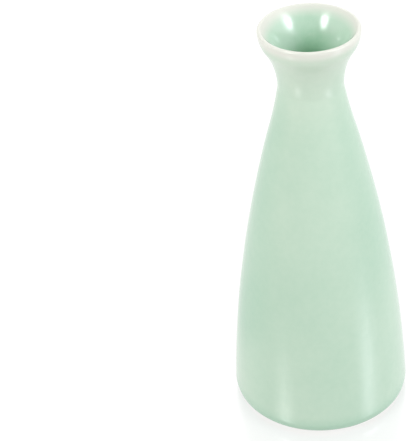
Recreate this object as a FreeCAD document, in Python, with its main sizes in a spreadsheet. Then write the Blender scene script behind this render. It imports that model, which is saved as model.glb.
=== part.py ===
import FreeCAD, Part
import math
import os

import Sketcher

# A flared-mouth sake bottle that holds about one go.  It is one piece of porcelain with
# a foot ring turned under it, and glazed all over but where it stands.  Its outline is
# a chain of tangent arcs swept about +Z, and the inside follows the outside one wall
# thickness in.  The origin is the centre of the plane that the foot ring rests on.
# Lengths are millimetres.

DRIVING_SIZES = [
    ("bottle_height", 150.0, "table to the top of the rim"),
    ("foot_bend", 4.8, "radius that turns the clay foot up into the side"),
    ("side_sweep", 500.0, "radius of the long bulging side"),
    ("side_drop", 19.0, "how far below the table the centre of the side's arc lies"),
    ("neck_sweep", 136.0, "radius of the hollow neck, whose centre is level with the rim"),
    ("throat_bend", 5.5, "tight radius just under the throat"),
    ("throat_radius", 11.1, "outside radius at the throat, the narrowest place"),
    ("throat_height", 129.0, "table to the throat"),
    ("mouth_flare", 27.0, "hollow radius that opens the throat into the mouth"),
    ("rim_round", 0.8, "radius of the rim's rounded edge"),
    ("wall", 3.6, "clay and both glaze coats together"),
    ("glaze", 0.4, "thickness of one glaze coat"),
    ("rim_band", 3.0, "height of the band of thin glaze around the rim"),
    ("glaze_line", 1.6, "table to the lower edge of the outer glaze"),
    ("foot_inner", 22.6, "inner radius of the foot ring where it rests"),
    ("foot_lean", 0.7, "how far the ring's inner side leans in up to the recess"),
    ("foot_recess", 2.0, "depth of the recess inside the foot ring"),
    ("floor_level", 6.2, "table to the glazed floor inside"),
    ("floor_bend", 10.0, "radius between the floor inside and the wall"),
]

ARC_START, ARC_END, CENTRE = 1, 2, 3
ORIGIN = (-1, 1)
UP_AXIS = -2


def make_sheet(doc):
    """The spreadsheet of driving sizes: a name, a number and what it means."""
    sheet = doc.addObject("Spreadsheet::Sheet", "Sizes")
    for row, (alias, value, meaning) in enumerate(DRIVING_SIZES, start=1):
        sheet.set(f"A{row}", alias)
        sheet.set(f"B{row}", str(value))
        sheet.setAlias(f"B{row}", alias)
        sheet.set(f"C{row}", meaning)
    doc.recompute()
    return sheet


def at(reach, level):
    """A point of a sketch: its distance from the axis and its height."""
    return FreeCAD.Vector(reach, level, 0)


class Curve:
    """The circle that one stretch of glazed outline lies on.

    side is 1 where the stretch is the outward half of its circle, as on the belly, and
    -1 where it is the half towards the axis, as on the neck.  face is 1 on the outside
    of the wall and -1 on the inside.
    """

    def __init__(self, centre, radius, side, face):
        self.centre = centre
        self.radius = radius
        self.side = side
        self.face = face

    def under(self, depth):
        """Radius of the same stretch that far under the glaze's surface."""
        return self.radius - self.side * self.face * depth

    def at_level(self, level, depth):
        """The stretch's point at a height."""
        run = math.sqrt(self.under(depth) ** 2 - (level - self.centre.y) ** 2)
        return at(self.centre.x + self.side * run, level)


def make_curves(size):
    """The tangent circles of the outline, from the foot up and back down the inside."""
    throat = at(size.throat_radius + size.throat_bend, size.throat_height)
    flare = at(size.throat_radius + size.mouth_flare, size.throat_height)

    neck_rise = size.bottle_height - size.throat_height
    neck_run = math.sqrt((size.neck_sweep - size.throat_bend) ** 2 - neck_rise ** 2)
    neck = at(throat.x + neck_run, size.bottle_height)

    side_rise = size.bottle_height + size.side_drop
    side_run = math.sqrt((size.side_sweep + size.neck_sweep) ** 2 - side_rise ** 2)
    side = at(neck.x - side_run, -size.side_drop)

    foot_gap = size.side_sweep - size.glaze - size.foot_bend
    foot_run = math.sqrt(foot_gap ** 2 - (size.foot_bend + size.side_drop) ** 2)
    foot = at(side.x + foot_run, size.foot_bend)

    rim_gap = size.mouth_flare + size.wall - size.rim_round
    rim_level = size.bottle_height - size.rim_round
    rim_rise = rim_level - size.throat_height
    rim = at(flare.x - math.sqrt(rim_gap ** 2 - rim_rise ** 2), rim_level)

    lip_gap = flare.x - rim.x - size.rim_round
    lip_bend = (lip_gap ** 2 + rim_rise ** 2 - size.mouth_flare ** 2) / (2 * (size.mouth_flare - lip_gap))
    lip = at(rim.x + size.rim_round - lip_bend, rim_level)

    corner_level = size.floor_level + size.floor_bend
    corner_gap = size.side_sweep - size.wall - size.floor_bend
    corner_run = math.sqrt(corner_gap ** 2 - (corner_level + size.side_drop) ** 2)
    corner = at(side.x + corner_run, corner_level)

    return {
        "foot": Curve(foot, size.foot_bend + size.glaze, 1, 1),
        "side": Curve(side, size.side_sweep, 1, 1),
        "neck": Curve(neck, size.neck_sweep, -1, 1),
        "throat": Curve(throat, size.throat_bend, -1, 1),
        "flare": Curve(flare, size.mouth_flare, -1, 1),
        "lip": Curve(lip, lip_bend, 1, 1),
        "rim": Curve(rim, size.rim_round, 1, 1),
        "flare_inside": Curve(flare, size.mouth_flare + size.wall, -1, -1),
        "throat_inside": Curve(throat, size.throat_bend + size.wall, -1, -1),
        "neck_inside": Curve(neck, size.neck_sweep + size.wall, -1, -1),
        "side_inside": Curve(side, size.side_sweep - size.wall, 1, -1),
        "corner": Curve(corner, size.floor_bend, 1, -1),
    }


OUTSIDE = ["foot", "side", "neck", "throat", "flare", "lip"]
INSIDE = ["flare_inside", "throat_inside", "neck_inside", "side_inside", "corner"]

# The spreadsheet formulas that hold each circle in a sketch: its radius at the glaze's
# surface, and the height and reach of its centre where no neighbour settles them.
RADIUS = {
    "foot": "Sizes.foot_bend + Sizes.glaze",
    "side": "Sizes.side_sweep",
    "neck": "Sizes.neck_sweep",
    "throat": "Sizes.throat_bend",
    "flare": "Sizes.mouth_flare",
    "rim": "Sizes.rim_round",
    "flare_inside": "Sizes.mouth_flare + Sizes.wall",
    "throat_inside": "Sizes.throat_bend + Sizes.wall",
    "neck_inside": "Sizes.neck_sweep + Sizes.wall",
    "side_inside": "Sizes.side_sweep - Sizes.wall",
    "corner": "Sizes.floor_bend",
}
RIM_LEVEL = "Sizes.bottle_height - Sizes.rim_round"
LEVEL = {
    "neck": "Sizes.bottle_height",
    "throat": "Sizes.throat_height",
    "flare": "Sizes.throat_height",
    "lip": RIM_LEVEL,
    "rim": RIM_LEVEL,
    "flare_inside": "Sizes.throat_height",
    "throat_inside": "Sizes.throat_height",
    "neck_inside": "Sizes.bottle_height",
}
THROAT_REACH = "Sizes.throat_radius + Sizes.throat_bend"
FLARE_REACH = "Sizes.throat_radius + Sizes.mouth_flare"


def touch_point(first, second, depth):
    """Where two tangent circles touch, that far under the glaze."""
    big, small = sorted((first, second), key=lambda curve: curve.under(depth), reverse=True)
    towards = (small.centre - big.centre).normalize()
    return big.centre + towards * big.under(depth)


class Outline:
    """A closed outline in a body's upright sketch, drawn piece by piece and then swept."""

    def __init__(self, doc, node, curves, start):
        self.curves = curves
        self.body = doc.addObject("PartDesign::Body", node)
        self.body.Label = node
        self.sketch = self.body.newObject("Sketcher::SketchObject", node + "_outline")
        upright = [plane for plane in self.body.Origin.OriginFeatures if plane.Role == "XZ_Plane"]
        self.sketch.AttachmentSupport = [(upright[0], "")]
        self.sketch.MapMode = "FlatFace"
        self.pen = start
        self.pieces = []

    def _add(self, piece, start, end, smooth):
        """Adds a line or an arc and joins it to the piece before."""
        number = self.sketch.addGeometry(piece, False)
        if self.pieces:
            kind = "Tangent" if smooth else "Coincident"
            self.bind(kind, *self.pieces[-1][1], number, start)
        self.pieces.append(((number, start), (number, end)))
        return number

    def line_to(self, point, smooth=False):
        number = self._add(Part.LineSegment(self.pen, point), ARC_START, ARC_END, smooth)
        self.pen = point
        return number

    def arc_to(self, point, centre, radius, smooth=True):
        out, back = self.pen - centre, point - centre
        turns_left = out.cross(back).z > 0
        first, last = (out, back) if turns_left else (back, out)
        angles = [math.atan2(arm.y, arm.x) for arm in (first, last)]
        circle = Part.Circle(centre, FreeCAD.Vector(0, 0, 1), radius)
        ends = (ARC_START, ARC_END) if turns_left else (ARC_END, ARC_START)
        number = self._add(Part.ArcOfCircle(circle, *angles), *ends, smooth)
        self.pen = point
        return number

    def follow(self, names, depth, end, smooth=True):
        """Draws a run of the bottle's curves, that far under the glaze, up to a point."""
        run = [self.curves[name] for name in names]
        stops = [touch_point(one, two, depth) for one, two in zip(run, run[1:])] + [end]
        numbers = {}
        for name, curve, stop in zip(names, run, stops):
            numbers[name] = self.arc_to(stop, curve.centre, curve.under(depth), smooth)
            smooth = True
        return numbers

    def guide(self, name):
        """Adds one of the curves as a whole construction circle."""
        curve = self.curves[name]
        circle = Part.Circle(curve.centre, FreeCAD.Vector(0, 0, 1), curve.radius)
        return self.sketch.addGeometry(circle, True)

    def bind(self, kind, *where):
        return self.sketch.addConstraint(Sketcher.Constraint(kind, *where))

    def size(self, kind, where, value, formula):
        """A dimension that a spreadsheet formula drives."""
        number = self.bind(kind, *where, value)
        self.sketch.renameConstraint(number, f"size_{number}")
        self.sketch.setExpression(f"Constraints.size_{number}", formula)

    def radius(self, number, name, depth=0.0):
        curve = self.curves[name]
        formula = RADIUS[name]
        if depth:
            formula += " - Sizes.glaze" if curve.side * curve.face > 0 else " + Sizes.glaze"
        self.size("Radius", (number,), curve.under(depth), formula)

    def level(self, number, name):
        centre = self.curves[name].centre
        if name in LEVEL:
            self.size("DistanceY", (*ORIGIN, number, CENTRE), centre.y, LEVEL[name])
        else:
            self.size("DistanceY", (number, CENTRE, *ORIGIN), -centre.y, "Sizes.side_drop")

    def reach(self, number, name, formula):
        self.size("DistanceX", (*ORIGIN, number, CENTRE), self.curves[name].centre.x, formula)

    def hold(self, numbers, names, depth=0.0):
        """Holds curves by their radius and the height of their centre."""
        for name in names:
            self.radius(numbers[name], name, depth)
            self.level(numbers[name], name)

    def share_centres(self, ones, others):
        for name in ones:
            self.bind("Coincident", ones[name], CENTRE, others[name], CENTRE)

    def height_of(self, point, value, formula):
        self.size("DistanceY", (*ORIGIN, *point), value, formula)

    def sweep(self):
        """Closes the outline and turns it about the axis into the node's solid."""
        self.bind("Coincident", *self.pieces[-1][1], *self.pieces[0][0])
        turned = self.body.newObject("PartDesign::Revolution", self.body.Name + "_turned")
        turned.Profile = self.sketch
        turned.ReferenceAxis = (self.sketch, ["V_Axis"])
        turned.Angle = 360.0
        self.body.Tip = turned
        return self.body


def porcelain_body(doc, size, curves):
    """The fired clay: foot ring, floor and wall in one piece, bare under the foot."""
    skin = size.glaze
    outline = Outline(doc, "porcelain_body", curves, at(0, size.foot_recess))
    recess = outline.line_to(at(size.foot_inner - size.foot_lean, size.foot_recess))
    lean = outline.line_to(at(size.foot_inner, 0))
    foot = outline.line_to(at(curves["foot"].centre.x, 0))
    rim_end = touch_point(curves["rim"], curves["flare_inside"], skin)
    outside = outline.follow(OUTSIDE + ["rim"], skin, rim_end)
    floor_height = size.floor_level - size.glaze
    inside = outline.follow(INSIDE, skin, at(curves["corner"].centre.x, floor_height))
    floor = outline.line_to(at(0, floor_height), smooth=True)
    axis = outline.line_to(at(0, size.foot_recess))

    outline.bind("Horizontal", recess)
    outline.bind("PointOnObject", axis, ARC_START, UP_AXIS)
    outline.bind("PointOnObject", axis, ARC_END, UP_AXIS)
    outline.bind("Horizontal", foot)
    outline.bind("PointOnObject", foot, ARC_START, -1)
    outline.bind("Horizontal", floor)
    outline.height_of((recess, ARC_END), size.foot_recess, "Sizes.foot_recess")
    outline.height_of((floor, ARC_END), floor_height, "Sizes.floor_level - Sizes.glaze")
    outline.size("DistanceX", (*ORIGIN, lean, ARC_END), size.foot_inner, "Sizes.foot_inner")
    outline.size("DistanceX", (lean, ARC_START, lean, ARC_END), size.foot_lean, "Sizes.foot_lean")

    outline.radius(outside["foot"], "foot", skin)
    outline.hold(outside, ["side", "neck", "throat", "flare", "rim"], skin)
    outline.reach(outside["throat"], "throat", THROAT_REACH)
    outline.level(outside["lip"], "lip")
    for name in INSIDE[:-1]:
        partner = outside[name.replace("_inside", "")]
        outline.bind("Coincident", inside[name], CENTRE, partner, CENTRE)
    outline.radius(inside["flare_inside"], "flare_inside", skin)
    outline.radius(inside["corner"], "corner", skin)
    return outline.sweep()


def outer_glaze(doc, size, curves):
    """The coat outside, from just above the foot to the band of thin glaze at the rim."""
    skin = size.glaze
    band = size.bottle_height - size.rim_band
    outline = Outline(doc, "outer_glaze", curves, curves["foot"].at_level(size.glaze_line, 0))
    surface = outline.follow(OUTSIDE, 0, curves["lip"].at_level(band, 0))
    top = outline.line_to(curves["lip"].at_level(band, skin))
    back = outline.follow(OUTSIDE[::-1], skin, curves["foot"].at_level(size.glaze_line, skin), smooth=False)
    bottom = outline.line_to(curves["foot"].at_level(size.glaze_line, 0))

    outline.hold(surface, ["side", "neck", "throat", "flare"])
    outline.reach(surface["throat"], "throat", THROAT_REACH)
    outline.radius(surface["foot"], "foot")
    outline.size("DistanceY", (*ORIGIN, surface["foot"], CENTRE), size.foot_bend, "Sizes.foot_bend")
    hold_lip(outline, surface["lip"])
    outline.share_centres(surface, back)
    outline.radius(back["throat"], "throat", skin)
    outline.bind("Horizontal", top)
    outline.bind("Horizontal", bottom)
    outline.height_of((top, ARC_START), band, "Sizes.bottle_height - Sizes.rim_band")
    outline.height_of((bottom, ARC_START), size.glaze_line, "Sizes.glaze_line")
    return outline.sweep()


def hold_lip(outline, lip):
    """Holds the lip's arc where neither it nor the flare reaches the rim itself."""
    outline.level(lip, "lip")
    rim = outline.guide("rim")
    inside = outline.guide("flare_inside")
    outline.hold({"rim": rim, "flare_inside": inside}, ["rim", "flare_inside"])
    outline.reach(inside, "flare_inside", FLARE_REACH)
    outline.bind("Tangent", rim, inside)
    outline.bind("Tangent", lip, rim)


def rim_glaze(doc, size, curves):
    """The thin coat over the rim, a narrow band outside and inside."""
    skin = size.glaze
    band = size.bottle_height - size.rim_band
    names = ["lip", "rim", "flare_inside"]
    outline = Outline(doc, "rim_glaze", curves, curves["lip"].at_level(band, 0))
    surface = outline.follow(names, 0, curves["flare_inside"].at_level(band, 0))
    inner_edge = outline.line_to(curves["flare_inside"].at_level(band, skin))
    back = outline.follow(names[::-1], skin, curves["lip"].at_level(band, skin), smooth=False)
    outer_edge = outline.line_to(curves["lip"].at_level(band, 0))

    outline.hold(surface, ["rim", "flare_inside"])
    outline.reach(surface["flare_inside"], "flare_inside", FLARE_REACH)
    outline.level(surface["lip"], "lip")
    flare = outline.guide("flare")
    outline.hold({"flare": flare}, ["flare"])
    outline.reach(flare, "flare", FLARE_REACH)
    outline.bind("Tangent", surface["lip"], flare)
    outline.share_centres(surface, back)
    outline.radius(back["rim"], "rim", skin)
    for edge in (inner_edge, outer_edge):
        outline.bind("Horizontal", edge)
        outline.height_of((edge, ARC_START), band, "Sizes.bottle_height - Sizes.rim_band")
    return outline.sweep()


def inner_glaze(doc, size, curves):
    """The coat inside, poured down the throat and over the floor."""
    skin = size.glaze
    band = size.bottle_height - size.rim_band
    corner = curves["corner"].centre
    outline = Outline(doc, "inner_glaze", curves, curves["flare_inside"].at_level(band, 0))
    surface = outline.follow(INSIDE, 0, at(corner.x, size.floor_level))
    floor = outline.line_to(at(0, size.floor_level), smooth=True)
    axis = outline.line_to(at(0, size.floor_level - skin))
    bed = outline.line_to(at(corner.x, size.floor_level - skin))
    back = outline.follow(INSIDE[::-1], skin, curves["flare_inside"].at_level(band, skin))
    edge = outline.line_to(curves["flare_inside"].at_level(band, 0))

    outline.hold(surface, INSIDE[:-1])
    outline.reach(surface["throat_inside"], "throat_inside", THROAT_REACH)
    outline.radius(surface["corner"], "corner")
    outline.share_centres(surface, back)
    outline.radius(back["throat_inside"], "throat_inside", skin)
    for flat in (floor, bed, edge):
        outline.bind("Horizontal", flat)
    outline.bind("PointOnObject", axis, ARC_START, UP_AXIS)
    outline.bind("PointOnObject", axis, ARC_END, UP_AXIS)
    outline.height_of((floor, ARC_END), size.floor_level, "Sizes.floor_level")
    outline.height_of((edge, ARC_START), band, "Sizes.bottle_height - Sizes.rim_band")
    return outline.sweep()


def base_glaze(doc, size, curves):
    """The disc of glaze inside the foot ring's recess."""
    under = size.foot_recess - size.glaze
    top_reach = size.foot_inner - size.foot_lean
    edge_reach = top_reach + size.foot_lean * size.glaze / size.foot_recess
    outline = Outline(doc, "base_glaze", curves, at(0, under))
    face = outline.line_to(at(edge_reach, under))
    edge = outline.line_to(at(top_reach, size.foot_recess))
    back = outline.line_to(at(0, size.foot_recess))
    axis = outline.line_to(at(0, under))

    for flat in (face, back):
        outline.bind("Horizontal", flat)
    outline.bind("PointOnObject", axis, ARC_START, UP_AXIS)
    outline.bind("PointOnObject", axis, ARC_END, UP_AXIS)
    outline.height_of((face, ARC_START), under, "Sizes.foot_recess - Sizes.glaze")
    outline.height_of((back, ARC_START), size.foot_recess, "Sizes.foot_recess")
    outline.size("DistanceX", (*ORIGIN, back, ARC_START), top_reach, "Sizes.foot_inner - Sizes.foot_lean")
    outline.size(
        "DistanceX", (back, ARC_START, face, ARC_END), edge_reach - top_reach,
        "Sizes.foot_lean * Sizes.glaze / Sizes.foot_recess")
    return outline.sweep()


def check(doc, nodes):
    """Stops unless every object computed and every node is one valid solid."""
    for thing in doc.Objects:
        if "Invalid" in thing.State or "Error" in thing.State:
            raise RuntimeError(f"{thing.Label} failed: {thing.State} {thing.getStatusString()}")
        if thing.TypeId == "Sketcher::SketchObject" and thing.solve() != 0:
            raise RuntimeError(f"{thing.Label} does not solve")
        if thing.TypeId == "Sketcher::SketchObject" and not thing.FullyConstrained:
            raise RuntimeError(f"{thing.Label} is not fully constrained")
    for node in nodes:
        if node.Shape.isNull() or not node.Shape.isValid() or len(node.Shape.Solids) != 1:
            raise RuntimeError(f"{node.Label} is not one valid solid")


def main():
    doc = FreeCAD.newDocument("sake_bottle")
    size = make_sheet(doc)
    curves = make_curves(size)
    makers = (porcelain_body, outer_glaze, rim_glaze, inner_glaze, base_glaze)
    nodes = [make(doc, size, curves) for make in makers]
    doc.recompute()
    check(doc, nodes)
    os.makedirs("parts", exist_ok=True)
    for node in nodes:
        node.Shape.exportStep(f"parts/{node.Label}.step")
        box = node.Shape.BoundBox
        print(f"{node.Label}: {node.Shape.Volume / 1000:.3f} ml of material, "
              f"{box.XLength:.2f} x {box.YLength:.2f} x {box.ZLength:.2f}, z from {box.ZMin:.2f}")


main()
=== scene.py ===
import math

import bmesh
import bpy
from mathutils import Matrix, Vector, noise


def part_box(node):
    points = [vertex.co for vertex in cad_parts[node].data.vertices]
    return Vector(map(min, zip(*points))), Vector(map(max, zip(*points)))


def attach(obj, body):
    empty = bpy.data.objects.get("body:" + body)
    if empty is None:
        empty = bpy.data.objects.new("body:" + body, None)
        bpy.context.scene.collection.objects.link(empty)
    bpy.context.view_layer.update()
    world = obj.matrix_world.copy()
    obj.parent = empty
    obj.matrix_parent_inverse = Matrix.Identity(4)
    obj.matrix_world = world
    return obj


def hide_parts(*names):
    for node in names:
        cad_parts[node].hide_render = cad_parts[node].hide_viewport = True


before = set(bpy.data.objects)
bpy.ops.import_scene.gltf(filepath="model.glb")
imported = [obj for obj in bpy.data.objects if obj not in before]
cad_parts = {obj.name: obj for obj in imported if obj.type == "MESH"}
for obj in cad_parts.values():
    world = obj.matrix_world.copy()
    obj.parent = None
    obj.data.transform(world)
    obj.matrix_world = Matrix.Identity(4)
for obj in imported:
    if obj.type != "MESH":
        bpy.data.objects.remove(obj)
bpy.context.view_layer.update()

# A celadon sake bottle: one porcelain wall, bare only under its foot, and the glaze on it.
# The bottle's outline is worked out in millimetres, everything else in metres.
MM = 0.001


# ---------------------------------------------------------------- outline of the wall

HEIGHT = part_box("rim_glaze")[1].z / MM
BAND_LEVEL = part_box("outer_glaze")[1].z / MM
GLAZE_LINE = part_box("outer_glaze")[0].z / MM
FOOT_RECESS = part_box("base_glaze")[1].z / MM
GLAZE = FOOT_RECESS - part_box("base_glaze")[0].z / MM
FLOOR_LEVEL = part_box("inner_glaze")[0].z / MM + GLAZE

# The CAD part's own sizes: bends, sweeps, the flare and the rim's round are radii of its arcs.
FOOT_BEND = 4.8         # of the clay, under the glaze
SIDE_SWEEP = 500.0
SIDE_DROP = 19.0        # how far the centre of that arc lies below the table
NECK_SWEEP = 136.0
THROAT_BEND = 5.5
THROAT_RADIUS = 11.1    # half the bottle's width at its narrowest
THROAT_HEIGHT = 129.0
MOUTH_FLARE = 27.0
RIM_ROUND = 0.8
WALL = 3.6              # with the glaze on both sides
FOOT_INNER = 22.6       # where the foot ring starts on the table
FOOT_LEAN = 0.7         # how much narrower its recess is at the top
FLOOR_BEND = 10.0


class Curve:
    """The circle that one stretch of glazed outline lies on.

    side is 1 where the stretch is the outward half of its circle and -1 where it is the
    half towards the axis.  face is 1 on the outside of the wall and -1 on the inside.
    """

    def __init__(self, reach, level, radius, side, face):
        self.centre = Vector((reach, level))
        self.radius = radius
        self.side = side
        self.face = face

    def under(self, depth):
        """Radius of the same stretch that far under the glaze's surface."""
        return self.radius - self.side * self.face * depth

    def at_level(self, level, depth):
        """The stretch's point at a height."""
        run = math.sqrt(self.under(depth) ** 2 - (level - self.centre.y) ** 2)
        return Vector((self.centre.x + self.side * run, level))

    def arc(self, start, end, step):
        """Points from start up to end, leaving end out."""
        first, last = start - self.centre, end - self.centre
        turn = math.atan2(first.x * last.y - first.y * last.x, first.dot(last))
        count = max(2, round(abs(turn) * first.length / step))
        return [self.centre + Matrix.Rotation(turn * i / count, 2) @ first for i in range(count)]


def make_curves():
    """The tangent circles of the bottle's outline, as the CAD part has them."""
    throat_reach = THROAT_RADIUS + THROAT_BEND
    flare_reach = THROAT_RADIUS + MOUTH_FLARE
    neck_reach = throat_reach + math.sqrt((NECK_SWEEP - THROAT_BEND) ** 2 - (HEIGHT - THROAT_HEIGHT) ** 2)
    side_reach = neck_reach - math.sqrt((SIDE_SWEEP + NECK_SWEEP) ** 2 - (HEIGHT + SIDE_DROP) ** 2)
    foot_gap = SIDE_SWEEP - GLAZE - FOOT_BEND
    foot_reach = side_reach + math.sqrt(foot_gap ** 2 - (FOOT_BEND + SIDE_DROP) ** 2)
    rim_level = HEIGHT - RIM_ROUND
    rim_rise = rim_level - THROAT_HEIGHT
    rim_reach = flare_reach - math.sqrt((MOUTH_FLARE + WALL - RIM_ROUND) ** 2 - rim_rise ** 2)
    lip_gap = flare_reach - rim_reach - RIM_ROUND
    lip_bend = (lip_gap ** 2 + rim_rise ** 2 - MOUTH_FLARE ** 2) / (2 * (MOUTH_FLARE - lip_gap))
    lip_reach = rim_reach + RIM_ROUND - lip_bend
    corner_level = FLOOR_LEVEL + FLOOR_BEND
    corner_gap = SIDE_SWEEP - WALL - FLOOR_BEND
    corner_reach = side_reach + math.sqrt(corner_gap ** 2 - (corner_level + SIDE_DROP) ** 2)
    return {
        "foot": Curve(foot_reach, FOOT_BEND, FOOT_BEND + GLAZE, 1, 1),
        "side": Curve(side_reach, -SIDE_DROP, SIDE_SWEEP, 1, 1),
        "neck": Curve(neck_reach, HEIGHT, NECK_SWEEP, -1, 1),
        "throat": Curve(throat_reach, THROAT_HEIGHT, THROAT_BEND, -1, 1),
        "flare": Curve(flare_reach, THROAT_HEIGHT, MOUTH_FLARE, -1, 1),
        "lip": Curve(lip_reach, rim_level, lip_bend, 1, 1),
        "rim": Curve(rim_reach, rim_level, RIM_ROUND, 1, 1),
        "flare_inside": Curve(flare_reach, THROAT_HEIGHT, MOUTH_FLARE + WALL, -1, -1),
        "throat_inside": Curve(throat_reach, THROAT_HEIGHT, THROAT_BEND + WALL, -1, -1),
        "neck_inside": Curve(neck_reach, HEIGHT, NECK_SWEEP + WALL, -1, -1),
        "side_inside": Curve(side_reach, -SIDE_DROP, SIDE_SWEEP - WALL, 1, -1),
        "corner": Curve(corner_reach, corner_level, FLOOR_BEND, 1, -1),
    }


CURVES = make_curves()
OUTSIDE = ["foot", "side", "neck", "throat", "flare", "lip"]
OVER_RIM = ["lip", "rim", "flare_inside"]
INSIDE = ["flare_inside", "throat_inside", "neck_inside", "side_inside", "corner"]


def touch_point(first, second, depth):
    """Where two tangent circles touch, that far under the glaze."""
    big, small = sorted((first, second), key=lambda curve: curve.under(depth), reverse=True)
    return big.centre + (small.centre - big.centre).normalized() * big.under(depth)


def follow(names, depth, start, end, step):
    """Points along a run of the bottle's curves, that far under the glaze, without end."""
    run = [CURVES[name] for name in names]
    stops = [start] + [touch_point(one, two, depth) for one, two in zip(run, run[1:])] + [end]
    points = []
    for curve, first, last in zip(run, stops, stops[1:]):
        points += curve.arc(first, last, step)
    return points


def straight(start, end, step):
    """Evenly spaced points on a line, without its end."""
    count = max(1, round((end - start).length / step))
    return [start.lerp(end, i / count) for i in range(count)]


# ---------------------------------------------------------------- hand-made unevenness

def smooth(value, low, high):
    """0 below low, 1 above high, and an even S between; low may be the larger."""
    share = min(1.0, max(0.0, (value - low) / (high - low)))
    return share * share * (3 - 2 * share)


MOUTH_TILT = 0.010          # the mouth leans this much towards +X, in radians
LEAN_FROM = 105.0           # the height above which it does
OVALITY = 0.0022            # share by which the neck and mouth are out of round
OVAL_TURN = 0.7             # twice the angle of the oval's long side, in radians
OVAL_FROM = 90.0            # the height above which they are
BELLY_LOBES = 0.0010        # share by which the belly is out of round
LOBE_CYCLES = 0.8           # how lumpy its lobes are
LOBE_HEIGHT = 60.0          # and how tall, in millimetres
SHRINK = 0.6                # share of the unevenness taken off again, to stay in the CAD box
RING_RELIEF = 0.030         # height of the faint rings left by throwing, in millimetres
RING_RATE = 0.19            # how close they follow each other
RING_STRAY = 0.25           # and how much they change on their way round
SWELL_RELIEF = 0.045        # height of the coat's slow swells
SWELL_RATE = 0.055          # and how close they lie
WANDER_GAIN = 1.6           # brings the noise to about -1 to 1


def wander(angle, cycles, seed):
    """A smooth closed random curve round the bottle, about -1 to 1."""
    place = Vector((cycles * math.cos(angle), cycles * math.sin(angle), seed))
    return noise.noise(place) * WANDER_GAIN


def warped(reach, level, angle):
    """Where a point of the true outline lies on the fired bottle, in millimetres."""
    upper = smooth(level, OVAL_FROM, HEIGHT)
    lobes = BELLY_LOBES * wander(angle, LOBE_CYCLES, level / LOBE_HEIGHT)
    out_of_round = OVALITY * upper * math.cos(2 * angle - OVAL_TURN) + lobes
    reach *= 1 + out_of_round - SHRINK * (OVALITY * upper + BELLY_LOBES)
    x, y = reach * math.cos(angle), reach * math.sin(angle)
    lean = MOUTH_TILT * smooth(level, LEAN_FROM, HEIGHT)
    return Vector((x, y, level - lean * (x + CURVES["rim"].centre.x)))


def glaze_relief(reach, level, angle):
    """How far the glaze's surface stands proud of an even coat, in millimetres."""
    spot = Vector((reach * math.cos(angle), reach * math.sin(angle), level))
    turn = Vector((RING_STRAY * math.cos(angle), RING_STRAY * math.sin(angle), level * RING_RATE))
    return RING_RELIEF * noise.noise(turn) + SWELL_RELIEF * noise.noise(spot * SWELL_RATE)


# ---------------------------------------------------------------- turning an outline

SEGMENTS = 192
ON_AXIS = 1e-6
SHARP_TURN = math.radians(35)       # a corner of the outline that turns more stays a crease


def lathe(name, outline, relief=None, shift=None):
    """Turns a closed outline about the axis into one closed, smooth-shaded mesh.

    outline is a list of (point, proud) where proud is how much of the relief shows there.
    relief moves the surface outward and shift moves it along the outline, both in millimetres.
    """
    count = len(outline)
    points = [point for point, proud in outline]
    mesh = bmesh.new()
    rings = []
    for i, (point, proud) in enumerate(outline):
        along = (points[(i + 1) % count] - points[i - 1]).normalized()
        outward = Vector((along.y, -along.x))
        ring = []
        for j in range(1 if point.x < ON_AXIS else SEGMENTS):
            angle = 2 * math.pi * j / SEGMENTS
            moved = point.copy()
            if shift:
                moved += along * shift(point, angle)
            if relief and proud:
                moved += outward * proud * relief(point.x, point.y, angle)
            ring.append(mesh.verts.new(warped(max(0.0, moved.x), moved.y, angle) * MM))
        rings.append(ring)
    for i in range(count):
        lower, upper = rings[i], rings[(i + 1) % count]
        if len(lower) == 1 and len(upper) == 1:
            continue
        for j in range(SEGMENTS):
            k = (j + 1) % SEGMENTS
            around = [lower[j % len(lower)], lower[k % len(lower)],
                      upper[k % len(upper)], upper[j % len(upper)]]
            mesh.faces.new(dict.fromkeys(around))
    for i in range(count):
        before, after = points[i] - points[i - 1], points[(i + 1) % count] - points[i]
        if len(rings[i]) > 1 and before.angle(after) > SHARP_TURN:
            for j in range(SEGMENTS):
                mesh.edges.get((rings[i][j], rings[i][(j + 1) % SEGMENTS])).smooth = False
    for face in mesh.faces:
        face.smooth = True
    bmesh.ops.recalc_face_normals(mesh, faces=mesh.faces)
    data = bpy.data.meshes.new(name)
    mesh.to_mesh(data)
    mesh.free()
    piece = bpy.data.objects.new(name, data)
    bpy.context.scene.collection.objects.link(piece)
    return piece


def shown(points):
    """A stretch of an outline that carries the relief."""
    return [(point, 1.0) for point in points]


def hidden(points):
    """A stretch of an outline without relief."""
    return [(point, 0.0) for point in points]


FINE = 1.0          # spacing of the outline's points where it shows, in millimetres
COARSE = 3.0        # and where one layer hides it


# ---------------------------------------------------------------- the layers

EDGE_ROLL = 0.5     # how far from its lower edge the glaze reaches its full thickness
BEAD_RISE = 0.16    # thickness of the bead of glaze that collects just above
BEAD_PLACE = 1.3    # how far from the edge the bead is thickest
BEAD_SPREAD = 0.8   # and how wide it is
WANDER_TOP = 9.0    # the height up to which the edge's ups and downs carry the coat with them
EDGE_WAVES = [(0.30, 1.1, 3.0), (0.12, 4.0, 8.0)]      # their height, cycles and seed
ROLL_STEP = 0.12    # spacing of the outline's points near that edge
RIM_STEP = 0.2      # and over the rim


def edge_thickness(distance):
    """Thickness of the outer glaze, that far up from its lower edge."""
    roll = 1 - min(1.0, distance / EDGE_ROLL)
    bead = BEAD_RISE * math.exp(-((distance - BEAD_PLACE) / BEAD_SPREAD) ** 2)
    return (GLAZE + bead) * math.sqrt(1 - roll * roll)


def line_wander(point, angle):
    """The glaze's lower edge rises and falls a little round the foot."""
    near = smooth(point.y, WANDER_TOP, GLAZE_LINE)
    return near * sum(rise * wander(angle, cycles, seed) for rise, cycles, seed in EDGE_WAVES)


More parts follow.
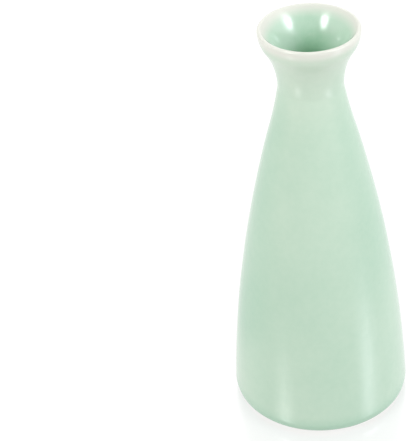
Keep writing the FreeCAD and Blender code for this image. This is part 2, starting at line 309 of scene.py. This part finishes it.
def outer_glaze():
    """The outside coat, from its rolled lower edge up to the rim's pale band."""
    foot = CURVES["foot"]
    edge = foot.at_level(GLAZE_LINE, GLAZE)
    roll = []
    for point in foot.arc(edge, touch_point(foot, CURVES["side"], GLAZE), ROLL_STEP):
        arm = (point - foot.centre).normalized()
        roll.append(foot.centre + arm * (FOOT_BEND + edge_thickness((point - edge).length)))
    top = CURVES["lip"].at_level(BAND_LEVEL, 0)
    wall = follow(OUTSIDE[1:], 0, touch_point(foot, CURVES["side"], 0), top, FINE)
    back = follow(OUTSIDE[::-1], GLAZE, CURVES["lip"].at_level(BAND_LEVEL, GLAZE), edge, COARSE)
    outline = hidden(roll[:1]) + shown(roll[1:] + wall) + hidden([top] + back)
    return lathe("glaze_outside", outline, glaze_relief, line_wander)


def rim_glaze():
    """The band over the rim, down to the same height outside and inside."""
    outer_edge = CURVES["lip"].at_level(BAND_LEVEL, 0)
    inner_edge = CURVES["flare_inside"].at_level(BAND_LEVEL, 0)
    over = follow(OVER_RIM, 0, outer_edge, inner_edge, RIM_STEP)
    under_inner = CURVES["flare_inside"].at_level(BAND_LEVEL, GLAZE)
    under_outer = CURVES["lip"].at_level(BAND_LEVEL, GLAZE)
    under = follow(OVER_RIM[::-1], GLAZE, under_inner, under_outer, 2 * RIM_STEP)
    outline = hidden(over + [inner_edge] + under + [under_outer])
    return lathe("glaze_rim", outline)


def inner_glaze():
    """The inside coat, from the rim's pale band down to the middle of the floor."""
    corner = CURVES["corner"].centre.x
    edge = CURVES["flare_inside"].at_level(BAND_LEVEL, 0)
    back_edge = CURVES["flare_inside"].at_level(BAND_LEVEL, GLAZE)
    floor_start, floor_end = Vector((corner, FLOOR_LEVEL)), Vector((0, FLOOR_LEVEL))
    bed_start, bed_end = Vector((0, FLOOR_LEVEL - GLAZE)), Vector((corner, FLOOR_LEVEL - GLAZE))
    wall = follow(INSIDE, 0, edge, floor_start, FINE)
    floor = straight(floor_start, floor_end, FINE) + [floor_end]
    bed = straight(bed_start, bed_end, COARSE)
    back = follow(INSIDE[::-1], GLAZE, bed_end, back_edge, COARSE) + [back_edge]
    outline = hidden(wall[:1]) + shown(wall[1:] + floor) + hidden(bed + back)
    return lathe("glaze_inside", outline, glaze_relief)


CREEP_LEVEL = 0.95  # how low the recess's coat creeps down the ring's inner side
CURL_REACH = 1.15   # how far from that side it starts to curl down
CURL_OUT = 1.6      # how soon it reaches that side on its way down
CURL_DOWN = 2.2     # and how late it turns down
CURL_STEPS = 8
TIP_SUNK = 0.03     # how far its tip is sunk into the clay


def base_glaze():
    """The glazed recess, where the coat creeps a little down the ring's inner side."""
    face = FOOT_RECESS - GLAZE
    edge_reach = FOOT_INNER - FOOT_LEAN * CREEP_LEVEL / FOOT_RECESS
    curl_start = edge_reach - CURL_REACH
    curl = []
    for i in range(CURL_STEPS):
        share = i / CURL_STEPS
        reach = curl_start + CURL_REACH * (1 - (1 - share) ** CURL_OUT)
        curl.append(Vector((reach, face - (face - CREEP_LEVEL) * share ** CURL_DOWN)))
    tip = Vector((edge_reach + TIP_SUNK, CREEP_LEVEL))
    corner, middle = Vector((FOOT_INNER - FOOT_LEAN, FOOT_RECESS)), Vector((0, FOOT_RECESS))
    flat = straight(Vector((0, face)), Vector((curl_start, face)), FINE)
    wall = straight(tip, corner, FINE / 2)
    back = straight(corner, middle, COARSE)
    return lathe("glaze_base", hidden(flat + curl + wall + back + [middle]))


TURNING_LINES = [(0.020, 9.5, 0.0), (0.012, 23.0, 1.0)]     # their depth, closeness and phase
TURNING_DRIFT = 0.05        # how far the lines stray from true circles
FOOT_SOFT = 0.35            # size of the softened inner edge of the foot ring
LEAN_STEP = 0.3             # spacing of the outline's points on the ring's inner side
RING_STEP = 0.12            # on its flat
HEEL_STEP = 0.15            # and on the bend above it
BARE_TOP = GLAZE_LINE + 1.5     # the height up to which the clay is finely modelled


def turning_marks(reach, level, angle):
    """Shallow concentric lines that the turning tool leaves on the bare foot."""
    drift = reach + TURNING_DRIFT * wander(angle, 1.0, 5.0)
    return -sum(depth * (1 + math.sin(drift * rate + phase)) for depth, rate, phase in TURNING_LINES)


def porcelain():
    """The clay: finely modelled where it is bare, plain where glaze covers it."""
    foot = CURVES["foot"]
    ring_in, ring_out = Vector((FOOT_INNER + FOOT_SOFT, 0)), Vector((foot.centre.x, 0))
    corner = Vector((FOOT_INNER, 0))
    recess_edge = Vector((FOOT_INNER - FOOT_LEAN, FOOT_RECESS))
    lean_end = Vector((FOOT_INNER - FOOT_LEAN * FOOT_SOFT / FOOT_RECESS, FOOT_SOFT))
    recess = straight(Vector((0, FOOT_RECESS)), recess_edge, COARSE)
    lean = straight(recess_edge, lean_end, LEAN_STEP)
    bend = []
    for share in (0, 0.25, 0.5, 0.75):
        bend.append(lean_end.lerp(corner, share).lerp(corner.lerp(ring_in, share), share))
    sole = straight(ring_in, ring_out, RING_STEP)
    covered = foot.at_level(BARE_TOP, GLAZE)
    heel = foot.arc(ring_out, covered, HEEL_STEP)
    rim_end = touch_point(CURVES["rim"], CURVES["flare_inside"], GLAZE)
    outside = follow(OUTSIDE + ["rim"], GLAZE, covered, rim_end, COARSE)
    floor_start = Vector((CURVES["corner"].centre.x, FLOOR_LEVEL - GLAZE))
    floor_end = Vector((0, FLOOR_LEVEL - GLAZE))
    inside = follow(INSIDE, GLAZE, rim_end, floor_start, COARSE)
    floor = straight(floor_start, floor_end, COARSE) + [floor_end]
    outline = hidden(recess + lean + bend) + shown(sole + heel) + hidden(outside + inside + floor)
    return lathe("porcelain", outline, turning_marks)


# ---------------------------------------------------------------- materials

class Nodes:
    """The node tree of a material, a lamp or the world, added to one call at a time."""

    def __init__(self, owner):
        owner.use_nodes = True
        self.tree = owner.node_tree

    def add(self, kind, inputs=(), **settings):
        """Makes a node with these inputs and settings."""
        node = self.tree.nodes.new(kind)
        for key, value in settings.items():
            setattr(node, key, value)
        for key, value in dict(inputs).items():
            self.feed(node.inputs[key], value)
        return node

    def feed(self, socket, value):
        """Links an output to a socket, or sets the socket's own value."""
        if isinstance(value, bpy.types.NodeSocket):
            self.tree.links.new(value, socket)
        else:
            socket.default_value = value

    def ramp(self, value, low, high, to_low=0.0, to_high=1.0, kind="SMOOTHSTEP"):
        """Goes from to_low to to_high while value goes from low to high, and stays there beyond."""
        node = self.add("ShaderNodeMapRange", {"Value": value, "From Min": low, "From Max": high,
                                               "To Min": to_low, "To Max": to_high}, interpolation_type=kind)
        return node.outputs["Result"]

    def math(self, operation, one, two=0.0):
        return self.add("ShaderNodeMath", {0: one, 1: two}, operation=operation).outputs[0]


class Paint(Nodes):
    """A material: its one shader, and the patterns that feed it."""

    def __init__(self, name):
        self.material = bpy.data.materials.new(name)
        super().__init__(self.material)
        self.shader = self.tree.nodes["Principled BSDF"]
        coordinates = self.add("ShaderNodeTexCoord")
        self.place = coordinates.outputs["Object"]
        self.normal = coordinates.outputs["Normal"]

    def noise(self, scale, detail, roughness):
        node = self.add("ShaderNodeTexNoise", {"Vector": self.place, "Scale": scale,
                                               "Detail": detail, "Roughness": roughness})
        return node.outputs["Fac"]

    def blend(self, share, one, two):
        """A number between one and two."""
        return self.add("ShaderNodeMix", {0: share, 2: one, 3: two}, data_type="FLOAT").outputs[0]

    def mix(self, share, one, two):
        """A colour between one and two, or past them where share is over 1."""
        node = self.add("ShaderNodeMix", {0: share}, data_type="RGBA", clamp_factor=False)
        for socket, value in ((node.inputs[6], one), (node.inputs[7], two)):
            self.feed(socket, value if isinstance(value, bpy.types.NodeSocket) else (*value, 1.0))
        return node.outputs[2]

    def set(self, **values):
        for key, value in values.items():
            self.feed(self.shader.inputs[key.replace("_", " ")], value)

    def bump(self, height, distance, strength):
        node = self.add("ShaderNodeBump", {"Height": height, "Distance": distance, "Strength": strength})
        self.set(Normal=node.outputs["Normal"])


# Colours of the glaze where it lies thin and thick, on both sides of the wall, and on the rim. The thin
# outside colour is partly painted light for the shaded neck, and the thick inside colour partly painted
# shade for the deep throat.
OUTSIDE_THIN_AND_LIGHT = (0.524, 0.624, 0.510)
OUTSIDE_THICK = (0.387, 0.530, 0.413)
INSIDE_THIN = (0.435, 0.588, 0.468)
INSIDE_THICK_AND_SHADE = (0.162, 0.422, 0.230)
RIM_CREAM = (0.616, 0.624, 0.560)
PATCH = (-27 * MM, -12 * MM, 42 * MM)       # where the outside coat is a little darker and greener
OUTER_SIDE = 1.0
INNER_SIDE = 0.0
OUTER_GLOSS = 1.58          # refractive index of the glaze outside
INNER_GLOSS = 1.66          # and inside


def glaze_side(paint, across, depth):
    """1 on the outside of the rim and 0 on its inside, by the distance from the axis.

    It changes over the rim, from just beyond the wall's inner face to just short of its outer
    face, both taken at the height where the band ends.
    """
    outer = CURVES["lip"].at_level(BAND_LEVEL, 0).x
    inner = CURVES["flare_inside"].at_level(BAND_LEVEL, 0).x
    flat = paint.add("ShaderNodeCombineXYZ", {"X": across, "Y": depth})
    reach = paint.add("ShaderNodeVectorMath", {0: flat.outputs[0]}, operation="LENGTH")
    return paint.ramp(reach.outputs["Value"], (inner + 0.9) * MM, (outer - 0.3) * MM)


def coat_depth_light_and_shade(paint, up, outward, clouds, flecks):
    """How thick the coat looks at each point, from 0 at the rim to 1.5 where it pooled, with painted light
    on the neck and on the inner sides, and painted shade in the throat, above the foot and on the outer
    sides.
    """

    def by_height(start, end, at_start, at_end):
        """A number that goes from at_start to at_end between two heights in millimetres."""
        return paint.ramp(up, start * MM, end * MM, at_start, at_end)

    # Outside, the coat thins towards the rim; the long fade down to the shoulder is partly painted light on
    # the shaded neck under the flare.
    thin_neck_and_light = by_height(147, 112, 0.0, 0.82)
    # Inside, the coat grows thicker down the funnel, and its darkening towards the throat is partly painted
    # shade of the deep throat.
    throat_depth_and_shade = by_height(147, 122, 0.10, 1.25)
    # Darker green just above the foot: partly pooled glaze, partly painted shade where the heel faces the
    # floor.
    foot_pool_and_shade = by_height(9.0, 1.5, 0.0, 0.75)
    on_belly = by_height(100, 60, 0.0, 0.15)
    under_belly = by_height(45, 10, 0.0, -0.12)

    # Painted light and shade by side: where the wall faces +X or -X, the inside is painted lighter and the
    # outside darker and greener.
    facing = paint.add("ShaderNodeSeparateXYZ", {"Vector": paint.normal})
    aside = paint.math("ABSOLUTE", paint.math("ADD", facing.outputs["X"], 0.05))
    side_light_inside = paint.ramp(aside, 0.2, 0.9, 0.10, -0.30)
    side_shade_outside = paint.math("MULTIPLY", paint.ramp(aside, 0.45, 0.85), by_height(20, 95, 0.0, 0.30))
    side_light_and_shade = paint.blend(outward, side_light_inside, side_shade_outside)

    from_patch = paint.add("ShaderNodeVectorMath", {0: paint.place, 1: PATCH}, operation="DISTANCE")
    near_patch = paint.ramp(from_patch.outputs["Value"], 22 * MM, 4 * MM, 0.0, 0.24)
    patch = paint.math("MULTIPLY", near_patch, outward)

    drift = paint.ramp(clouds, 0.3, 0.7, -0.12, 0.12)
    grain = paint.ramp(flecks, 0.3, 0.7, -0.05, 0.05)
    thickness = paint.blend(outward, throat_depth_and_shade, thin_neck_and_light)
    for change in (foot_pool_and_shade, on_belly, under_belly, side_light_and_shade, patch, drift, grain):
        thickness = paint.math("ADD", thickness, change)
    return paint.ramp(thickness, 0.0, 1.5, 0.0, 1.5, "LINEAR")


def rim_share(paint, up, outward, clouds):
    """1 where the coat ran off the rim and the pale clay shows through, 0 well below."""
    wobble = paint.math("MULTIPLY", paint.math("SUBTRACT", clouds, 0.5), 1.4 * MM)
    level = paint.math("ADD", up, wobble)
    outside = paint.ramp(level, (HEIGHT - 4.5) * MM, (HEIGHT - 1.0) * MM)
    inside = paint.ramp(level, (HEIGHT - 4.2) * MM, (HEIGHT - 0.3) * MM)
    return paint.blend(outward, inside, outside)


def glaze_paint(name, outward=None):
    """Celadon: greener where it lies thick, darker where painted shade lies, lighter where painted light
    lies, and nearly colourless where it runs off the rim.

    outward is 1 on the outside of the wall and 0 on the inside; without it, the material
    tells them apart by their distance from the axis, which works near the rim.
    """
    paint = Paint(name)
    axes = paint.add("ShaderNodeSeparateXYZ", {"Vector": paint.place})
    up = axes.outputs["Z"]
    if outward is None:
        outward = glaze_side(paint, axes.outputs["X"], axes.outputs["Y"])
    clouds = paint.noise(34.0, 3.0, 0.5)
    flecks = paint.noise(420.0, 2.0, 0.6)
    ripple = paint.noise(210.0, 2.0, 0.5)
    # The thin outside colour carries painted light on the neck, and the thick inside colour painted shade in
    # the throat.
    thin = paint.mix(outward, INSIDE_THIN, OUTSIDE_THIN_AND_LIGHT)
    thick = paint.mix(outward, INSIDE_THICK_AND_SHADE, OUTSIDE_THICK)
    green = paint.mix(coat_depth_light_and_shade(paint, up, outward, clouds, flecks), thin, thick)
    paint.set(Base_Color=paint.mix(rim_share(paint, up, outward, clouds), green, RIM_CREAM),
              Roughness=paint.ramp(flecks, 0.2, 0.8, 0.02, 0.06),
              IOR=INNER_GLOSS if outward == INNER_SIDE else OUTER_GLOSS)
    paint.bump(ripple, 0.03 * MM, 0.35)
    return paint.material


def outside_paint(name):
    return glaze_paint(name, OUTER_SIDE)


def inside_paint(name):
    return glaze_paint(name, INNER_SIDE)


CLAY_PALE = (0.73, 0.71, 0.66)
CLAY_STAINED = (0.66, 0.62, 0.55)
CLAY_FLASHED = (0.62, 0.50, 0.38)       # the warm line that the kiln draws beside the glaze


def clay_paint(name):
    """Bare porcelain: off-white and matt, a little warmer where it meets the glaze."""
    paint = Paint(name)
    axes = paint.add("ShaderNodeSeparateXYZ", {"Vector": paint.place})
    grain = paint.noise(1500.0, 3.0, 0.7)
    stains = paint.noise(120.0, 2.0, 0.5)
    body = paint.mix(paint.ramp(stains, 0.3, 0.7), CLAY_PALE, CLAY_STAINED)
    flashed = paint.ramp(axes.outputs["Z"], 0.5 * MM, 1.8 * MM, 0.0, 0.45)
    paint.set(Base_Color=paint.mix(flashed, body, CLAY_FLASHED),
              Roughness=paint.ramp(grain, 0.2, 0.8, 0.6, 0.85))
    paint.bump(grain, 0.04 * MM, 0.6)
    return paint.material


LAYERS = [
    (outer_glaze, "outer_glaze", "celadon", outside_paint),
    (rim_glaze, "rim_glaze", "pale_rim", glaze_paint),
    (inner_glaze, "inner_glaze", "celadon_deep", inside_paint),
    (base_glaze, "base_glaze", "celadon", outside_paint),
    (porcelain, "porcelain_body", "porcelain", clay_paint),
]
for make, node, slot, paint in LAYERS:
    piece = make()
    piece.data.materials.append(paint(piece.name + "_paint"))
    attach(piece, "root")
    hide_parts(node)


# ---------------------------------------------------------------- floor, light and camera

FLOOR_REACH = 3.0
FLOOR_GREY = (0.19, 0.19, 0.19, 1)
FLOOR_ROUGHNESS = 0.15
FLOOR_GLOSS = 2.1           # refractive index: it mirrors the panels up onto the bottle's side
FLOOR_GLOW = 0.67           # with the light that falls on it, this makes the floor just white
ROOM = 0.68                 # even glow of the room
WALLS = [(85, 1.05), (-85, 0.65), (180, 0.70)]      # azimuth and brightness of each
WALL_HEIGHT = 30            # elevation of their brightest spots, in degrees
WALL_FOCUS = 4              # how fast their light falls off around those
NEUTRAL = (1.0, 1.0, 1.0)
COOL = (0.99, 1.0, 1.09)
LAMPS = [                   # name, azimuth, low, high, across, distance, radiance and tint
    ("softbox_right", 67, 12, 43, 50, 2.5, 5.5, COOL),
    ("bulb_right", 63.5, 17, 42, 31, 2.4, 8.0, COOL),
    ("softbox_left", -49, 15, 46, 42, 1.05, 8.5, NEUTRAL),
    ("bulb_left", -47.5, 19, 44, 27, 1.0, 8.5, NEUTRAL),
]
LENS = 133.2                # millimetres, on a sensor 36 mm wide
CAMERA_PLACE = (0.0, -0.4636, 0.4082)
YAW, PITCH, ROLL = -0.08055, 0.62242, -0.08111      # radians; pitch is downwards


def make_floor():
    """A glossy floor, which glows so that it stays white around the bottle."""
    mesh = bmesh.new()
    bmesh.ops.create_circle(mesh, cap_ends=True, segments=96, radius=FLOOR_REACH)
    data = bpy.data.meshes.new("floor")
    mesh.to_mesh(data)
    mesh.free()
    floor = bpy.data.objects.new("floor", data)
    bpy.context.scene.collection.objects.link(floor)
    paint = Paint("floor_white")
    paint.set(Base_Color=FLOOR_GREY, Roughness=FLOOR_ROUGHNESS, IOR=FLOOR_GLOSS)
    paint.set(Emission_Color=(1, 1, 1, 1), Emission_Strength=FLOOR_GLOW)
    data.materials.append(paint.material)


def towards(azimuth, elevation):
    """Unit vector from the bottle: azimuth 0 is -Y, 90 is +X, in degrees."""
    a, e = math.radians(azimuth), math.radians(elevation)
    return Vector((math.sin(a) * math.cos(e), -math.cos(a) * math.cos(e), math.sin(e)))


def feather(lamp):
    """Fades a panel out from its middle to its edges."""
    nodes = Nodes(lamp)
    place = nodes.add("ShaderNodeTexCoord").outputs["UV"]
    spread = nodes.add("ShaderNodeSeparateXYZ", {"Vector": place})
    fades = []
    for axis in ("X", "Y"):
        off_middle = nodes.math("ABSOLUTE", nodes.math("SUBTRACT", spread.outputs[axis], 0.5))
        fades.append(nodes.ramp(off_middle, 0.5, 0.0))
    glow = next(node for node in nodes.tree.nodes if node.type == "EMISSION")
    nodes.feed(glow.inputs["Strength"], nodes.math("MULTIPLY", *fades))


def softbox(name, azimuth, low, high, across, distance, radiance, tint):
    """A soft panel light, as bright as radiance in its middle.

    Its lower and upper edge stand low and high degrees above the bottle's mouth, and it is
    across degrees wide, all as seen from the mouth.  distance is measured along the ground.
    """
    mouth = HEIGHT * MM
    bottom, top = (mouth + distance * math.tan(math.radians(edge)) for edge in (low, high))
    middle = distance * towards(azimuth, 0) + Vector((0, 0, (bottom + top) / 2))
    aim = (middle - Vector((0, 0, mouth))).normalized()
    lamp = bpy.data.lights.new(name, "AREA")
    lamp.shape = "RECTANGLE"
    lamp.size = 2 * distance * math.tan(math.radians(across / 2))
    lamp.size_y = (top - bottom) * aim.xy.length
    lamp.energy = radiance * math.pi * lamp.size * lamp.size_y
    lamp.color = tint
    feather(lamp)
    holder = bpy.data.objects.new(name, lamp)
    holder.location = middle
    holder.rotation_euler = aim.to_track_quat("Z", "Y").to_euler()
    bpy.context.scene.collection.objects.link(holder)


def make_sky():
    """A white room: an even glow, with lighter walls beside and behind the bottle."""
    world = bpy.data.worlds.new("studio")
    bpy.context.scene.world = world
    nodes = Nodes(world)
    direction = nodes.add("ShaderNodeTexCoord").outputs["Generated"]
    total = ROOM
    for azimuth, glow in WALLS:
        facing = nodes.add("ShaderNodeVectorMath", {0: direction, 1: towards(azimuth, WALL_HEIGHT)},
                           operation="DOT_PRODUCT")
        lit = nodes.math("MAXIMUM", facing.outputs["Value"], 0.0)
        wall = nodes.math("MULTIPLY", nodes.math("POWER", lit, WALL_FOCUS), glow)
        total = nodes.math("ADD", total, wall)
    background = nodes.tree.nodes["Background"]
    nodes.feed(background.inputs["Strength"], total)
    nodes.feed(background.inputs["Color"], (1, 1, 1, 1))


def make_camera():
    """Looks down on the bottle from the front, with the bottle right of the middle."""
    data = bpy.data.cameras.new("camera")
    camera = bpy.data.objects.new("camera", data)
    bpy.context.scene.collection.objects.link(camera)
    bpy.context.scene.camera = camera
    data.sensor_width = 36.0
    data.lens = LENS
    data.clip_start = 0.01
    camera.location = CAMERA_PLACE
    ahead = math.cos(PITCH)
    forward = Vector((math.sin(YAW) * ahead, math.cos(YAW) * ahead, -math.sin(PITCH)))
    right = Vector((math.cos(YAW), -math.sin(YAW), 0.0))
    basis = Matrix((right, right.cross(forward), -forward)).transposed()
    camera.rotation_euler = (basis @ Matrix.Rotation(ROLL, 3, "Z")).to_euler()


make_floor()
for lamp in LAMPS:
    softbox(*lamp)
make_sky()
make_camera()
bpy.context.scene.view_settings.view_transform = "Standard"
